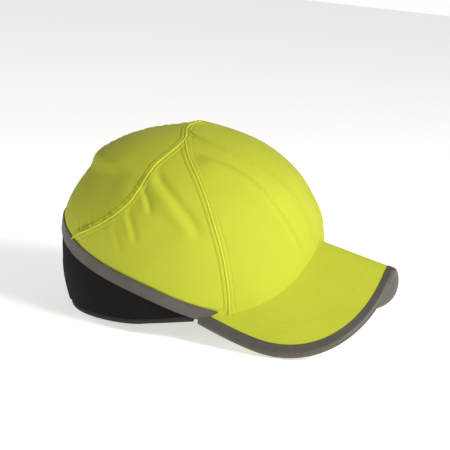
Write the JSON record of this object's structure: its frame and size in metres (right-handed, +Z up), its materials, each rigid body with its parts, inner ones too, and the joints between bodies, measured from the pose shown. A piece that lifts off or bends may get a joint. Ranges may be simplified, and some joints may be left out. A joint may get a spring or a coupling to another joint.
{
  "type": "bump cap",
  "caption": "Hi-vis baseball-style bump cap: textile cover with visor, mesh neck, reflective tape and nape strap over a removable vented hard shell with foam pads.",
  "frame": {"origin": "middle of the bounding box footprint, on the surface the cap stands on", "axes": "+Z up, visor towards -Y, wearer's right side towards -X; the cap stands tipped 4.97 degrees, on the visor's sides and the back of the neck hem"},
  "size_m": [0.1776, 0.2732, 0.1503],
  "materials": {
    "hi_vis_yellow": "matte twill",
    "reflective_grey": "satin retroreflective",
    "black_mesh": "matte knitted mesh",
    "black_webbing": "matte woven",
    "black_shell": "satin moulded",
    "grey_foam": "matte foam",
    "sweat_cloth": "matte towelling",
    "seam_cloth": "matte bias tape",
    "visor_plastic": "matte",
    "buckle_plastic": "satin moulded"
  },
  "bodies": {
    "insert": {"inner_shell": "black_shell", "crown_pad": "grey_foam", "brow_pad": "grey_foam", "side_pad_left": "grey_foam", "side_pad_right": "grey_foam", "rear_pad_left": "grey_foam", "rear_pad_right": "grey_foam"},
    "cover": {"arch_binding": "black_webbing", "crossover_piping": "hi_vis_yellow", "crossover_seam_tape_left": "seam_cloth", "crossover_seam_tape_right": "seam_cloth", "front_centre_panel": "hi_vis_yellow", "front_seam_tape_left": "seam_cloth", "front_seam_tape_right": "seam_cloth", "front_side_panel_left": "hi_vis_yellow", "front_side_panel_right": "hi_vis_yellow", "neck_hem_binding_left": "black_webbing", "neck_hem_binding_right": "black_webbing", "neck_mesh_left": "black_mesh", "neck_mesh_right": "black_mesh", "rear_panel_left": "hi_vis_yellow", "rear_panel_right": "hi_vis_yellow", "rear_seam_tape": "seam_cloth", "reflective_hem_tape": "reflective_grey", "ring_anchor": "black_webbing", "side_panel_left": "hi_vis_yellow", "side_panel_right": "hi_vis_yellow", "side_piping_left": "hi_vis_yellow", "side_piping_right": "hi_vis_yellow", "strap_ring": "buckle_plastic", "strap_web": "black_webbing", "sweatband": "sweat_cloth", "visor_board": "visor_plastic", "visor_edge_binding": "reflective_grey", "visor_top_cover": "hi_vis_yellow", "visor_under_cover": "hi_vis_yellow"},
    "strap": {"strap_tab": "black_webbing"}
  },
  "joints": [
    {"name": "cover_lift", "type": "slide", "parent": "insert", "child": "cover", "axis": [0, 0.0866, 0.9962], "range_m": [0, 0.16]},
    {"name": "strap_slide", "type": "hinge", "parent": "cover", "child": "strap", "pos_m": [0, 0.05497, 0.02252], "axis": [0, 0.0866, 0.9962], "range_deg": [-14, 0]}
  ]
}
